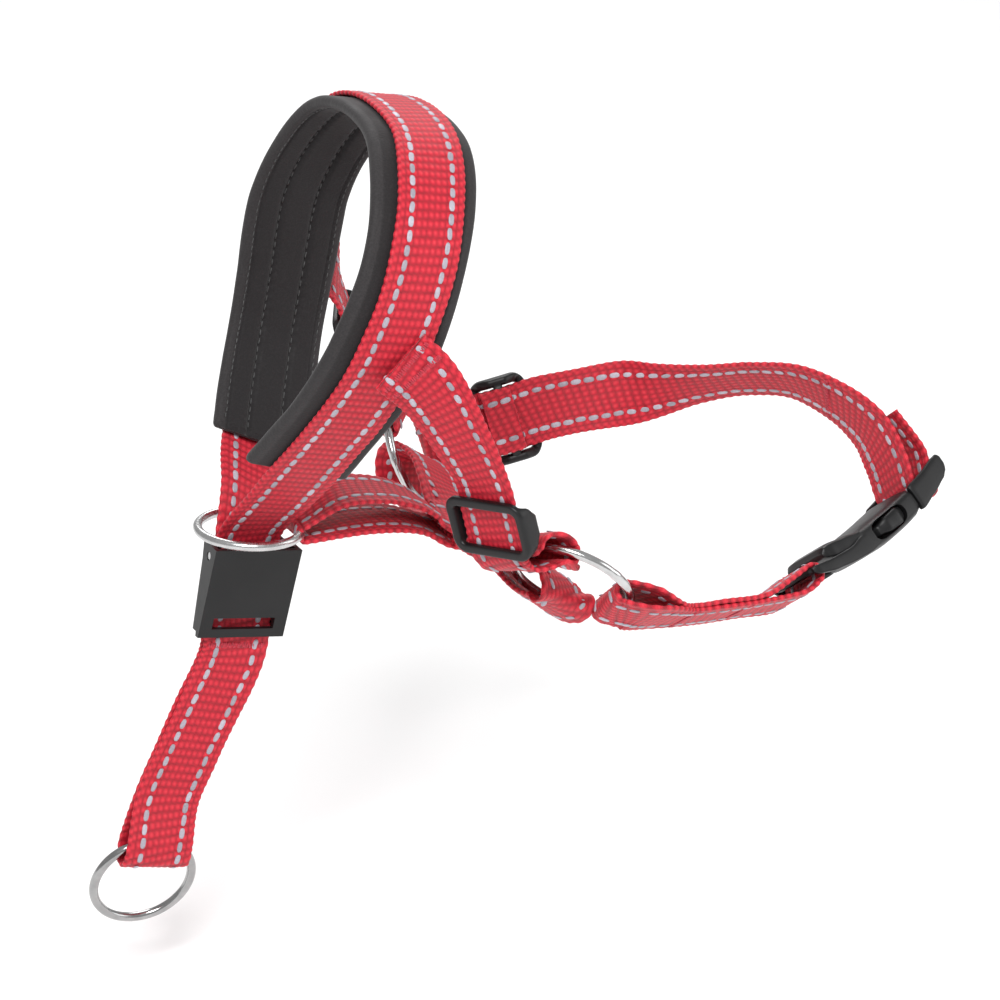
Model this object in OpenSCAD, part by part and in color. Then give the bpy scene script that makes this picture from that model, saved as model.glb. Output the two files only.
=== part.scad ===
// Head halter for a dog: a padded nose loop, a chin strap, two cheek straps and
// a collar that closes with a side-release buckle. The animal looks along -X,
// its left side is -Y and up is +Z. The origin is the middle of the muzzle opening.

/* [Webbing] */
// Width of all webbing
web_w = 20; // [19:0.5:20.5]
// Thickness of all webbing
web_t = 1.2; // [0.9:0.1:1.3]
// Width of the neoprene nose pad
pad_w = 31; // [26:1:34]
// Thickness of the neoprene nose pad
pad_t = 3.4; // [2.5:0.1:3.8]
// How far the pad sits forward of the middle of the webbing
pad_forward = 1.2; // [0:0.5:4]

/* [Rings] */
// Wire of every ring
wire_d = 2.7; // [2.2:0.1:2.9]
// Radius of the chin ring and the lead ring to the middle of the wire
small_ring_r = 14.8; // [14.4:0.1:15]
// Radius of the two side rings to the middle of the wire
side_ring_r = 17.6; // [17:0.1:18]

/* [Cam lock] */
// Height of the lock along the webbing
lock_h = 28; // [25:1:29]
// Outside width of the lever
lever_w = 26.6; // [26.4:0.1:27]
// Diameter of the lever's pin
pin_d = 2.4; // [2:0.1:2.6]

/* [Sliders] */
// Length of a slider along the strap
slider_l = 18; // [17:0.5:19]
// Width of a slider across the strap
slider_w = 27; // [26:0.5:28]

/* [Buckle] */
// Outside width of the buckle
buckle_w = 25; // [24.6:0.1:26]
// Thickness of the buckle
buckle_t = 9; // [8.6:0.1:10]
// Length of the socket half
socket_l = 46; // [45:0.5:47]

/* [Hidden] */

web_red = [0.82, 0.13, 0.2];
pad_grey = [0.2, 0.18, 0.19];
plastic_black = [0.08, 0.08, 0.085];
steel = [0.72, 0.72, 0.74];
thread_grey = [0.72, 0.7, 0.75];

// Clearance between a strap and what it passes through
gap = 0.3;
// Rings of corner points that a strap has between two of its stations
steps = 4;

// ---------- straps ----------
// A strap's station is [x, y, z, a, b, c]: a point on its middle surface and the way
// that its width lies there.

function unit(v) = v / norm(v);
function part_of(v, k) = [v[k], v[k + 1], v[k + 2]];
function edged(points, edge) = [for (p = points) concat(p, edge)];

// Catmull-Rom curve between b and c, and its direction
function curve(a, b, c, d, t) =
    0.5 * (2 * b + (c - a) * t + (2 * a - 5 * b + 4 * c - d) * t * t
        + (3 * b - a - 3 * c + d) * t * t * t);
function slope(a, b, c, d, t) =
    0.5 * ((c - a) + 2 * (2 * a - 5 * b + 4 * c - d) * t + 3 * (3 * b - a - 3 * c + d) * t * t);

// The station i of a route, running on past both ends of an open one
function station(route, i, closed) =
    let (n = len(route))
    closed ? route[(i + n) % n]
    : i < 0 ? 2 * route[0] - route[1]
    : i >= n ? 2 * route[n - 1] - route[n - 2]
    : route[i];

// [middle, direction, width direction, face direction] at t past station i
function frame_at(route, i, t, closed) =
    let (
        a = station(route, i - 1, closed),
        b = station(route, i, closed),
        c = station(route, i + 1, closed),
        d = station(route, i + 2, closed),
        p = curve(a, b, c, d, t),
        along = unit(part_of(slope(a, b, c, d, t), 0)),
        edge = part_of(p, 3),
        across = unit(edge - along * (edge * along))
    )
    [part_of(p, 0), along, across, cross(along, across)];

function frames(route, closed) =
    let (n = len(route), spans = closed ? n : n - 1)
    [
        for (i = [0 : spans - 1], k = [0 : steps - 1]) frame_at(route, i, k / steps, closed),
        if (!closed) frame_at(route, spans - 1, 1, closed)
    ];

// A strap of rectangular section along its route, with the ends of an open one capped.
// bow shifts its two edges, station by station, so that it can lie along a ring's arc.
module strap(route, closed, bow = [0, 0, 0], bows = [])
    band(frames(route, closed), closed, web_w, web_t, bow, bows);

module band(fr, closed, wide, thick, bow = [0, 0, 0], bows = []) {
    n = len(fr);
    cols = len(bows) > 0 ? 4 : 1;
    row = 2 * (cols + 1);
    function lift(i) =
        len(bows) == 0 ? 0
        : let (k = floor(i / steps), m = min(k + 1, len(bows) - 1), t = i / steps - k)
            bows[k] * (1 - t) + bows[m] * t;
    points = [
        for (i = [0 : n - 1], side = [0, 1], c = [0 : cols])
            let (v = (side == 0 ? c : cols - c) / cols * 2 - 1, f = fr[i])
            f[0] + f[2] * v * wide / 2 + f[3] * (side - 0.5) * thick + bow * lift(i) * v * v
    ];
    spans = closed ? n : n - 1;
    walls = [
        for (i = [0 : spans - 1], j = [0 : row - 1])
            let (a = i * row, b = ((i + 1) % n) * row, k = (j + 1) % row)
            each [[a + j, b + k, a + k], [a + j, b + j, b + k]]
    ];
    caps = closed ? [] : [
        [for (j = [0 : row - 1]) j],
        [for (j = [0 : row - 1]) (n - 1) * row + row - 1 - j]
    ];
    polyhedron(points, concat(walls, caps), convexity = 10);
}

// Stations of a fold: it starts on the side given, goes round by way of "deep" and
// comes back on the other side
function fold(at, side, deep, r, edge) =
    edged([for (a = [0 : 45 : 180]) at + (side * cos(a) + deep * sin(a)) * r], edge);

// Stands a child's own axes along three given directions
module placed(at, x, y, z)
    multmatrix([[x[0], y[0], z[0], at[0]], [x[1], y[1], z[1], at[1]], [x[2], y[2], z[2], at[2]]])
        children();

// ---------- rings ----------
// Direction in a ring's plane that is nearest to a given one
function outward(axis, way) = unit(way - axis * (axis * way));
// Radius of a strap's fold round a wire, and how deep a straight fold sits under the arc
fold_r = wire_d / 2 + gap + web_t / 2;
side_sink = 3.5;

chin_at = [-31.5, 0, -66.8];
chin_axis = unit([0.07, 0, 1]);
near_at = [45, -51, -77.5];
near_axis = unit([0.61, 0.49, 0.62]);
far_at = [44, 50, -74];
far_axis = unit([0.68, -0.6, 0.42]);

module ring(at, axis, r)
    translate(at)
        rotate([0, acos(axis[2]), atan2(axis[1], axis[0])])
            rotate_extrude($fn = 64)
                translate([r, 0])
                    circle(d = wire_d, $fn = 20);

// ---------- nose band and its tab ----------
nose_edge = [0.97, 0, -0.2];
nose_low_near = [0.96, -0.08, -0.26];
nose_low_far = [0.96, 0.05, -0.27];
nose_near = [[15, -2, 53], [13, -25, 49.2], [6, -43, 36], [-1.5, -51, 18]];
nose_near_low = [[-9.5, -50, -2], [-16, -41, -20], [-22, -28, -37], [-27, -14, -53]];
nose_far_low = [[-27, 8, -58], [-18.5, 26, -48], [-7.5, 42, -29], [-0.5, 46, -8]];
nose_far = [[4.5, 43, 17], [10, 34, 35.8], [14.2, 19, 49]];

// The tab: both layers run straight down through the lock, then curve forward
tab_top = [-31.7, 0, -68];
tab_dir = unit([-1.75, 0, -10]);
tab_edge = [-tab_dir[2], 0, tab_dir[0]];
layer = web_t / 2 + 0.25;
tab_straight = [0, 12.5, 25, 37.5];
tab_low = [[-46, -120], [-53.5, -134], [-59.5, -146]];
// The fold at its foot is slack, which leaves the lead ring room to swing
lead_fold_at = [-63.6, 0, -160.5];
lead_fold_dir = unit([-0.22, 0, -0.975]);
lead_fold_r = 3.4;
lead_fold_half = 2.4;
lead_edge = [-lead_fold_dir[2], 0, lead_fold_dir[0]];

function tab_side(side) = concat(
    edged([for (s = tab_straight) tab_top + tab_dir * s + [0, side * layer, 0]], tab_edge),
    edged([for (p = tab_low) [p[0], side * layer, p[1]]], lead_edge),
    edged([lead_fold_at - lead_fold_dir * lead_fold_half + [0, side * lead_fold_r, 0]], lead_edge)
);
function reversed(list) = [for (i = [len(list) - 1 : -1 : 0]) list[i]];
nose_route = concat(
    edged(nose_near, nose_edge), edged(nose_near_low, nose_low_near), tab_side(-1),
    fold(lead_fold_at + lead_fold_dir * lead_fold_half, [0, -1, 0], lead_fold_dir, lead_fold_r,
        lead_edge),
    reversed(tab_side(1)), edged(nose_far_low, nose_low_far), edged(nose_far, nose_edge)
);

// The pad lies inside the upper part of the loop, a little forward of the webbing.
// It starts low on the far side and ends lower still on the near side.
pad_inset = web_t / 2 + gap + 0.15 + pad_t / 2;
nose_frames = frames(nose_route, true);
pad_first = (len(nose_route) - len(nose_far) - len(nose_far_low) + 1) * steps - 1;
pad_last = (len(nose_near) + 2) * steps + 2;
// Its far end hardly sits forward at all
function pad_lead(i) = pad_forward * min(1, 0.7 * (i - pad_first) / steps - 1.2);
pad_frames = [
    for (i = [pad_first : len(nose_frames) + pad_last])
        let (f = nose_frames[i % len(nose_frames)])
        [f[0] - f[2] * pad_lead(i) - f[3] * pad_inset, f[1], f[2], f[3]]
];

// The lead ring hangs in the fold, off to one side
lead_pivot = lead_fold_at + lead_fold_dir * 0.3;
lead_rest = 18;
lead_hang = lead_fold_dir * cos(lead_rest) + [0, 1, 0] * sin(lead_rest);
lead_at = lead_pivot + lead_hang * (small_ring_r - 2);
lead_axis = unit(cross(lead_edge, lead_hang));

// ---------- cheek straps ----------
near_out = outward(near_axis, [-0.65, -0.14, 0.75]);
near_cheek_edge = cross(near_axis, near_out);
near_cheek_fold = near_at + near_out * (side_ring_r - side_sink);
near_slide_at = [18.5, -55, -54.5];
near_slide_dir = unit([0.24, 0, -0.98]);
near_slide_edge = unit(outward(near_slide_dir, [0.446, -0.886, 0.113]));
near_slide_face = cross(near_slide_dir, near_slide_edge);

far_out = outward(far_axis, [-0.44, 0.15, 0.88]);
far_cheek_edge = cross(far_out, far_axis);
far_cheek_fold = far_at + far_out * (side_ring_r - side_sink);
far_slide_at = [25, 55, -33];
far_slide_dir = unit([0.3, 0, -0.95]);
far_slide_edge = outward(far_slide_dir, [0.446, 0.886, 0.113]);
far_slide_face = cross(far_slide_edge, far_slide_dir);

// Inward offset of the layer that comes back from a ring to its slider
back_off = 4.6;

cheek_near_route = concat(
    edged([[-8, -52.8, -3]], [0.8, 0, 0.6]),
    edged([[-1, -53.4, -10.5]], [0.72, -0.4, 0.5]),
    edged([[6, -54, -22]], [0.62, -0.7, 0.27]),
    edged([for (s = [-14, -5, 4, 11]) near_slide_at + near_slide_dir * s], near_slide_edge),
    edged([[25.4, -55, -68.8]], near_cheek_edge),
    fold(near_cheek_fold, -near_axis, -near_out, fold_r + 0.6, near_cheek_edge),
    edged([near_at + near_out * side_ring_r + near_axis * (fold_r + 0.9), [31.3, -51.8, -61.4],
        [26.6, -52.3, -63.4]], near_cheek_edge)
);
cheek_far_route = concat(
    edged([[4, 50, 12]], [0.8, 0, 0.6]),
    edged([[10, 52.3, 3]], [0.75, 0.25, 0.55]),
    edged([[16, 54.2, -8]], [0.68, 0.55, 0.4]),
    edged([for (s = [-14, -5, 4, 12]) far_slide_at + far_slide_dir * s], far_slide_edge),
    edged([[30.5, 56.4, -54]], far_cheek_edge),
    fold(far_cheek_fold, -far_axis, -far_out, fold_r, far_cheek_edge),
    edged([far_at + far_out * side_ring_r + far_axis * (fold_r + 0.3), [36.4, 51.2, -53]],
        far_cheek_edge),
    edged([[33.6, 51.6, -47.6]], far_slide_edge)
);

// ---------- chin straps ----------
chin_out = outward(chin_axis, [1, 0, 0]);
stem_fold = chin_at + chin_out * small_ring_r;
stem_join = [38, 0, -79.5];
cross_dir = unit([0, 1, 0.15]);
cross_edge = unit([0.93, 0.05, -0.33]);
cross_face = cross(cross_edge, cross_dir);
stem_on = 3 * web_t / 2 + 0.5;
function stem_end(side) =
    [for (x = [9, 0, -11]) stem_join + cross_edge * x + cross_face * stem_on * side];
stem_route = concat(
    edged(stem_end(1), cross_dir),
    edged([[24.6, 0, -70.6], [18, 0, -65.6], [8, 0, -61.8], [-5, 0, -60.5]], [0, 1, 0.05]),
    fold(stem_fold, chin_axis, -chin_out, fold_r, [0, 1, 0]),
    edged([[0, 0, -70], [12, 0, -71.5], [20, 0, -74.2]], [0, 1, 0.05]),
    edged(reversed(stem_end(-1)), cross_dir));
stem_bows = [0, 0, 0, 0, 0, 0, 0.35, 1, 1, 1, 1, 1, 0, 0, 0, 0, 0, 0];
stem_bow = 4.7;

cross_half = 11;
near_lobe_edge = [0.76, 0.12, -0.64];
far_lobe_edge = [0.8, 0.1, -0.55];
cross_route = concat(
    edged([for (y = [cross_half, 0, -cross_half]) stem_join + cross_dir * y + cross_face * layer],
        cross_edge),
    edged([[39, -22, -77.6], [40.8, -34, -76.6], [42.6, -41, -77.2], [43.4, -46, -78.8],
        [43.2, -50, -83], [42.2, -46.5, -87.2], [40, -38, -88.2], [38.7, -23, -85.4]],
        near_lobe_edge),
    edged([for (y = [-cross_half, 0, cross_half]) stem_join + cross_dir * y - cross_face * layer],
        cross_edge),
    edged([[39, 22, -84.5], [41, 32, -89.5], [42, 43, -91.5], [42, 52, -88],
        [42, 54, -82], [42, 51.5, -76], [42, 43, -72.5], [41.2, 32, -72.3], [39, 22, -74]],
        far_lobe_edge)
);

// ---------- collar ----------
buckle_at = [118.5, -50, -93.5];
buckle_x = unit([0.91, 0.33, 0.224]);
buckle_side = [0.14, -0.78, 0.61];
buckle_y = -unit(buckle_side - buckle_x * (buckle_side * buckle_x));
buckle_z = cross(buckle_x, buckle_y);
function in_buckle(x, z) = buckle_at + buckle_x * x + buckle_z * z;

short_dir = unit([0.93, -0.25, -0.3]);
short_side = outward(short_dir, near_axis);
short_fold = near_at + outward(near_axis, short_dir) * (side_ring_r - side_sink);
short_fold_r = fold_r + 0.8;
short_edge = cross(short_dir, short_side);
short_mid_edge = [0.1, -0.82, 0.58];
bar_fold_r = 2.1 + web_t / 2;
short_route = concat(
    edged([[102, -53.4, -94.6], [88, -55, -93.2], [75, -55.6, -91.6]], short_mid_edge),
    edged([short_fold + short_dir * 8 + short_side * short_fold_r], short_edge),
    fold(short_fold, short_side, -short_dir, short_fold_r, short_edge),
    edged([short_fold + short_dir * 8 - short_side * short_fold_r], short_edge),
    edged([[75, -55.9, -93.1], [88, -55.3, -94.7], [102, -53.7, -96.1]], short_mid_edge),
    edged([in_buckle(-5, -bar_fold_r), in_buckle(1.6, -bar_fold_r), in_buckle(3.5, -1.9),
        in_buckle(1.6 + bar_fold_r, 0), in_buckle(3.5, 1.9), in_buckle(1.6, bar_fold_r),
        in_buckle(-5, bar_fold_r)], -buckle_y)
);

neck_slide_at = [76.5, 55, -70.5];
neck_slide_dir = unit([0.93, -0.27, 0.24]);
neck_slide_edge = outward(neck_slide_dir, [0.05, 0.3, 0.95]);
neck_slide_face = cross(neck_slide_edge, neck_slide_dir);
// The far ring lies across the collar strap, so one leg of the fold passes inside it
neck_out = outward(far_axis, [0.9, 0.42, -0.1]);
neck_edge = cross(far_axis, neck_out);
neck_fold_r = fold_r + 1.7;
neck_fold = far_at + neck_out * (side_ring_r - 1.7);
neck_route = concat(
    edged([neck_slide_at - neck_slide_dir * 13 - neck_slide_face * back_off], neck_slide_edge),
    edged([neck_fold - neck_out * neck_fold_r + far_axis * 3], neck_edge),
    fold(neck_fold, -neck_out, -far_axis, neck_fold_r, neck_edge),
    edged([for (s = [-12, -4, 4, 14]) neck_slide_at + neck_slide_dir * s], neck_slide_edge),
    edged([[107, 42, -63]], [0.15, 0.15, 0.97]),
    edged([[118, 35, -61]], [0, -0.3, 0.95]),
    edged([[130, 28, -58.5]], [-0.1, -0.6, 0.78]),
    edged([[142, 19, -56]], [-0.1, -0.7, 0.7]),
    edged([[151.2, 8.3, -55.2]], [-0.09, -0.77, 0.63]),
    edged([[158, -5, -58]], [-0.02, -0.8, 0.6]),
    edged([[162.4, -17, -63.5]], [0.08, -0.83, 0.56]),
    edged([[163.6, -25.5, -71]], [0.15, -0.85, 0.5]),
    edged([in_buckle(51.6, 4.2), in_buckle(52.3, 0), in_buckle(55.4, -2.7),
        in_buckle(58.5, 0), in_buckle(59.2, 4.2)], -buckle_y),
    edged([[171.3, -23.5, -71]], [0.15, -0.85, 0.5]),
    edged([[166.6, -16.5, -61.5]], [0.08, -0.83, 0.56])
);

// ---------- cam lock ----------
lock_at = tab_top + tab_dir * 2.4;
lock_wall_out = lever_w / 2 - 1.6;
lock_wall_in = lock_wall_out - 1.2;
lock_back = 3.5;
pin_y = -3.9;
pin_z = -3.2;
lever_top = -8.6;
lever_foot = -4.2;
lever_plate = 1.8;
hinge_clearance = 0.06;

module in_lock() placed(lock_at, tab_edge, [0, 1, 0], -tab_dir) children();

// A flat shape in the lock's y-z plane, extruded across it
module lock_slice(from, to, shape)
    translate([from, 0, 0])
        rotate([90, 0, 90])
            linear_extrude(to - from)
                polygon(shape);

module pin_bore(d)
    translate([-lever_w, pin_y, pin_z])
        rotate([0, 90, 0])
            cylinder(h = 2 * lever_w, d = d, $fn = 32);

// ---------- sliders ----------
// Own axes: x across the strap, y along it, z away from the animal
slider_bar = 1.5;
slider_rail = 3;

module slider() {
    half_l = slider_l / 2;
    side_x = slider_w / 2;
    end_y = half_l - 2.8;
    top = 3;
    foot = -4;
    low = web_t / 2 + gap;
    bar_top = -2.5;
    difference() {
        translate([-side_x, 0, 0])
            rotate([90, 0, 90])
                linear_extrude(slider_w)
                    polygon([[-half_l, low], [-3, foot], [3, foot], [half_l, low],
                        [half_l, 2.2], [half_l - 1.5, top], [1.5 - half_l, top],
                        [-half_l, 2.2]]);
        // Everything between the rails but the two end bars and the middle bar
        translate([slider_rail - side_x, 0, 0])
            rotate([90, 0, 90])
                linear_extrude(slider_w - 2 * slider_rail)
                    polygon([[-slider_l, foot - 1], [-slider_bar, foot - 1],
                        [-slider_bar, bar_top], [slider_bar, bar_top],
                        [slider_bar, foot - 1], [slider_l, foot - 1], [slider_l, low],
                        [end_y, low], [end_y, top + 1], [-end_y, top + 1], [-end_y, low],
                        [-slider_l, low]]);
    }
}

// The strap's sewn end that goes round a slider's middle bar
module slider_loop(reach) {
    edge = [1, 0, 0];
    inner = -3.25;
    r = 1.6;
    strap(concat(
        edged([[0, 6.5, inner + r], [0, 3, inner + r], [0, 0, inner + r]], edge),
        edged([for (a = [30 : 30 : 150])
            [0, -slider_bar - r * sin(a) + 0.2, inner + r * cos(a)]], edge),
        edged([[0, 0, inner - r], [0, 3, inner - r], [0, reach, inner - r]], edge)), false);
}

// ---------- side-release buckle ----------
// Own axes: x along it from the socket's strap bar, y across, z away from the animal
half_w = buckle_w / 2;
half_t = buckle_t / 2;
prong_knuckle_x = 48;
prong_knuckle_y = 8.5;

module in_buckle_frame() placed(buckle_at, buckle_x, buckle_y, buckle_z) children();

module socket_outline()
    polygon([[0, 9], [1.5, 10.5], [8, 11], [12, half_w], [25, half_w], [28, half_w - 1],
        [socket_l - 4, half_w - 1], [socket_l, half_w - 2],
        [socket_l, 2 - half_w], [socket_l - 4, 1 - half_w], [28, 1 - half_w], [25, -half_w],
        [12, -half_w], [8, -11], [1.5, -10.5], [0, -9]]);

// ---------- sub-parts ----------
module nose_band() color(web_red) strap(nose_route, true);

module nose_pad() color(pad_grey) band(pad_frames, false, pad_w, pad_t);

module cheek_strap_near() color(web_red) strap(cheek_near_route, false);

module cheek_strap_far() color(web_red) strap(cheek_far_route, false);

module chin_cross_strap() color(web_red) strap(cross_route, true);

module chin_stem_strap()
    color(web_red)
        strap(stem_route, false, bow = -chin_out * stem_bow, bows = stem_bows);

module neck_strap_long() color(web_red) strap(neck_route, false);

module neck_strap_short() color(web_red) strap(short_route, true);

module chin_ring() color(steel) ring(chin_at, chin_axis, small_ring_r);

module lead_ring() color(steel) ring(lead_at, lead_axis, small_ring_r);

module side_ring_near() color(steel) ring(near_at, near_axis, side_ring_r);

module side_ring_far() color(steel) ring(far_at, far_axis, side_ring_r);

module lock_body() {
    color(plastic_black)
        in_lock()
            difference() {
                union() {
                    lock_slice(-lock_wall_out, lock_wall_out,
                        [[lock_back - 1.4, -lock_h], [lock_back, -lock_h], [lock_back, 0],
                            [lock_back - 1.4, 0]]);
                    for (side = [-1, 1])
                        lock_slice(side > 0 ? lock_wall_in : -lock_wall_out,
                            side > 0 ? lock_wall_out : -lock_wall_in,
                            [[lock_back, -lock_h], [lock_back, 0], [-5.6, 0], [-5.2, -5.5],
                                [-2.2, -12], [-1.6, -lock_h]]);
                }
                pin_bore(pin_d);
            }
}

module lock_pin() {
    color(steel)
        in_lock()
            translate([-lever_w / 2 + 0.2, pin_y, pin_z])
                rotate([0, 90, 0])
                    cylinder(h = lever_w - 0.4, d = pin_d, $fn = 32);
}

module lock_lever() {
    cheek = 1.4;
    color(plastic_black)
        in_lock()
            difference() {
                union() {
                    lock_slice(-lever_w / 2, lever_w / 2,
                        [[lever_top, 0], [lever_top + lever_plate, 0],
                            [lever_foot + lever_plate, -lock_h], [lever_foot, -lock_h]]);
                    for (side = [-1, 1])
                        lock_slice(side > 0 ? lever_w / 2 - cheek : -lever_w / 2,
                            side > 0 ? lever_w / 2 : cheek - lever_w / 2,
                            [[0.6, 0], [lever_top, 0], [lever_foot, -lock_h],
                                [lever_foot + lever_plate, -lock_h]]);
                    // Ridge that bites into the webbing
                    lock_slice(-9.5, 9.5,
                        [[-5.6, -6.4], [-1.95, -8.2], [-2.3, -8.9], [-1.95, -9.6], [-4.9, -10.8]]);
                }
                pin_bore(pin_d + 2 * hinge_clearance);
                // Window near the foot
                lock_slice(-9.5, 9.5,
                    [[-12, -25.3], [0, -25.3], [0, -21.8], [-12, -21.8]]);
            }
}

module slider_near()
    placed(near_slide_at, -near_slide_edge, near_slide_dir, near_slide_face)
        children();

module cheek_slider_near() color(plastic_black) slider_near() slider();

module slider_loop_near() color(web_red) slider_near() slider_loop(6);

module slider_far()
    placed(far_slide_at, far_slide_edge, far_slide_dir, far_slide_face)
        children();

module cheek_slider_far() color(plastic_black) slider_far() slider();

module slider_loop_far() color(web_red) slider_far() slider_loop(6);

module slider_neck()
    placed(neck_slide_at, -neck_slide_edge, -neck_slide_dir, neck_slide_face)
        children();

module neck_slider() color(plastic_black) slider_neck() slider();

module slider_loop_neck() color(web_red) slider_neck() slider_loop(6);

module buckle_socket() {
    color(plastic_black)
        in_buckle_frame()
            difference() {
                union() {
                    translate([0, 0, -1.1])
                        linear_extrude(2.2)
                            intersection() {
                                socket_outline();
                                translate([0, -half_w]) square([10, buckle_w]);
                            }
                    translate([8, 0, -half_t])
                        linear_extrude(buckle_t)
                            intersection() {
                                translate([-8, 0]) socket_outline();
                                translate([0, -half_w]) square([socket_l - 8, buckle_w]);
                            }
                }
                // Slot behind the strap bar
                translate([3.2, -10.2, -half_t])
                    cube([4.8, 20.4, buckle_t]);
                // Cavity that takes the plug
                translate([24, -10.4, -3])
                    cube([socket_l, 20.8, 6]);
                // Side windows that the prongs spring out of
                translate([26, -half_w - 1, -3])
                    cube([14, buckle_w + 2, 6]);
            }
}

module buckle_plug() {
    color(plastic_black)
        in_buckle_frame() {
            difference() {
                translate([46.4, 0, 0])
                    linear_extrude(2.2, center = true)
                        polygon([[0, 10.2], [1.5, half_w - 1.2], [15, half_w - 1], [16.6, 10],
                            [16.6, -10], [15, 1 - half_w], [1.5, 1.2 - half_w], [0, -10.2]]);
                for (x = [50.8, 56.6])
                    translate([x, -10.3, -3])
                        cube([3.4, 20.6, 6]);
                for (side = [-1, 1])
                    translate([prong_knuckle_x, side * prong_knuckle_y, -3])
                        cylinder(h = 6, r = 1.7, $fn = 32);
                for (side = [-1, 1])
                    translate([45, side > 0 ? 7.2 : -10.3, -3])
                        cube([3, 3.1, 6]);
            }
            // Tongue that guides the plug into the socket
            translate([26, -1.6, -1.5])
                cube([20.6, 3.2, 3]);
        }
}

module prong(side) {
    color(plastic_black)
        in_buckle_frame()
            mirror([0, side > 0 ? 0 : 1, 0]) {
                translate([prong_knuckle_x, prong_knuckle_y, -1.4])
                    cylinder(h = 2.8, r = 1.5, $fn = 32);
                translate([0, 0, -1.4])
                    linear_extrude(2.8)
                        polygon([[46.8, 7.4], [46.8, 9.4], [39.6, 9.6], [39.6, 11.6],
                            [37, 12.3], [31, 11.2], [27.5, 9.2], [27.5, 7.6], [30, 7.2]]);
            }
}

module buckle_prong_near() prong(-1);

module buckle_prong_far() prong(1);

// Rows of dense stitches that close the folds
tack_lift = 0.08;
module tack(at, x, y, length)
    placed(at, x, y, cross(x, y))
        translate([-length / 2, -1, 0])
            cube([length, 2, 0.3]);

module bar_tacks() {
    color(thread_grey) {
        tack(tab_top + tab_dir * 34 + [0, -layer - web_t / 2 - tack_lift, 0],
            -tab_edge, tab_dir, 16);
        tack(stem_join + cross_edge * 7.5 + cross_face * (stem_on + web_t / 2 + tack_lift),
            cross_dir, -cross_edge, 17);
        tack(stem_join - cross_edge * 7.5 + cross_face * (stem_on + web_t / 2 + tack_lift),
            cross_dir, -cross_edge, 17);
    }
}

nose_band();
nose_pad();
cheek_strap_near();
cheek_strap_far();
chin_cross_strap();
chin_stem_strap();
neck_strap_long();
neck_strap_short();
chin_ring();
lead_ring();
side_ring_near();
side_ring_far();
lock_body();
lock_pin();
lock_lever();
cheek_slider_near();
cheek_slider_far();
neck_slider();
slider_loop_near();
slider_loop_far();
slider_loop_neck();
buckle_socket();
buckle_plug();
buckle_prong_near();
buckle_prong_far();
bar_tacks();
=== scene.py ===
import bpy
import bmesh
import math
import numpy as np
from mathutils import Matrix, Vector


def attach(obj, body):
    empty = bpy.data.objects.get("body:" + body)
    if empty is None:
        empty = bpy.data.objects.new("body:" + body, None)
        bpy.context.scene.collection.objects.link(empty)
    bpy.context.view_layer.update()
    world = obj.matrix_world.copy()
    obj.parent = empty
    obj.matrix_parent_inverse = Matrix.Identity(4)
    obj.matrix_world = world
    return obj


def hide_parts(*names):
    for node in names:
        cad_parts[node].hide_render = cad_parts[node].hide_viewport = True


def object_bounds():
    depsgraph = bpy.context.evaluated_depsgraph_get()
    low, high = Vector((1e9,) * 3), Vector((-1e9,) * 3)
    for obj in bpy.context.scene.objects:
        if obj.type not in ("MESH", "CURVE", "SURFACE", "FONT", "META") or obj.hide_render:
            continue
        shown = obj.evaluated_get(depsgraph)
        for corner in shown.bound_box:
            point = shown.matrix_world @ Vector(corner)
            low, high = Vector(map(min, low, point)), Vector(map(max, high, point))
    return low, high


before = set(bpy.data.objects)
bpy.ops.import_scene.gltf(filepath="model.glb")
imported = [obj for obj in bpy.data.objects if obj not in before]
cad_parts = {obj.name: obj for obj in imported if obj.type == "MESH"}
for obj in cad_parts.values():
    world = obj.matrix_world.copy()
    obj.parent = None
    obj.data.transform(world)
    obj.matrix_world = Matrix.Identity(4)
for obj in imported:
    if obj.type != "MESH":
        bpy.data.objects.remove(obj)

CAD_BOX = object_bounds()
MM = 0.001


def V(*c):
    return np.array(c, float)


def unit(v):
    v = np.asarray(v, float)
    return v / np.linalg.norm(v)


def outward(axis, way):
    way = np.asarray(way, float)
    return unit(way - axis * np.dot(axis, way))


# ---------- sizes, in mm ----------
WEB_W, WEB_T = 20.0, 1.2
PAD_W, PAD_T, PAD_FORWARD = 31.0, 3.4, 1.2
WIRE, SMALL_R, SIDE_R, GAP = 2.7, 14.8, 17.6, 0.3
# The reflective stitches: half a stitch's length and width, its height, and its two rows
DASH_LONG, DASH_WIDE, DASH_HIGH = 1.68, 0.84, 0.28
DASH_ROW, DASH_PITCH = 5.9, 4.0
SLIDER_W, SLIDER_L = 27.0, 18.0
FOLD_R = WIRE / 2 + GAP + WEB_T / 2
SIDE_SINK = 3.5

CHIN_AT, CHIN_AXIS = V(-31.5, 0, -66.8), unit([0.07, 0, 1])
NEAR_AT, NEAR_AXIS = V(45, -51, -77.5), unit([0.61, 0.49, 0.62])
FAR_AT, FAR_AXIS = V(44, 50, -74), unit([0.68, -0.6, 0.42])


# ---------- routes: stations of a strap are a point and its width direction ----------
def edged(points, edge):
    return [np.concatenate([V(*p), V(*edge)]) for p in points]


def fold(at, side, deep, r, edge):
    turn = [math.radians(a) for a in range(0, 181, 45)]
    return edged([at + (side * math.cos(a) + deep * math.sin(a)) * r for a in turn], edge)


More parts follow.
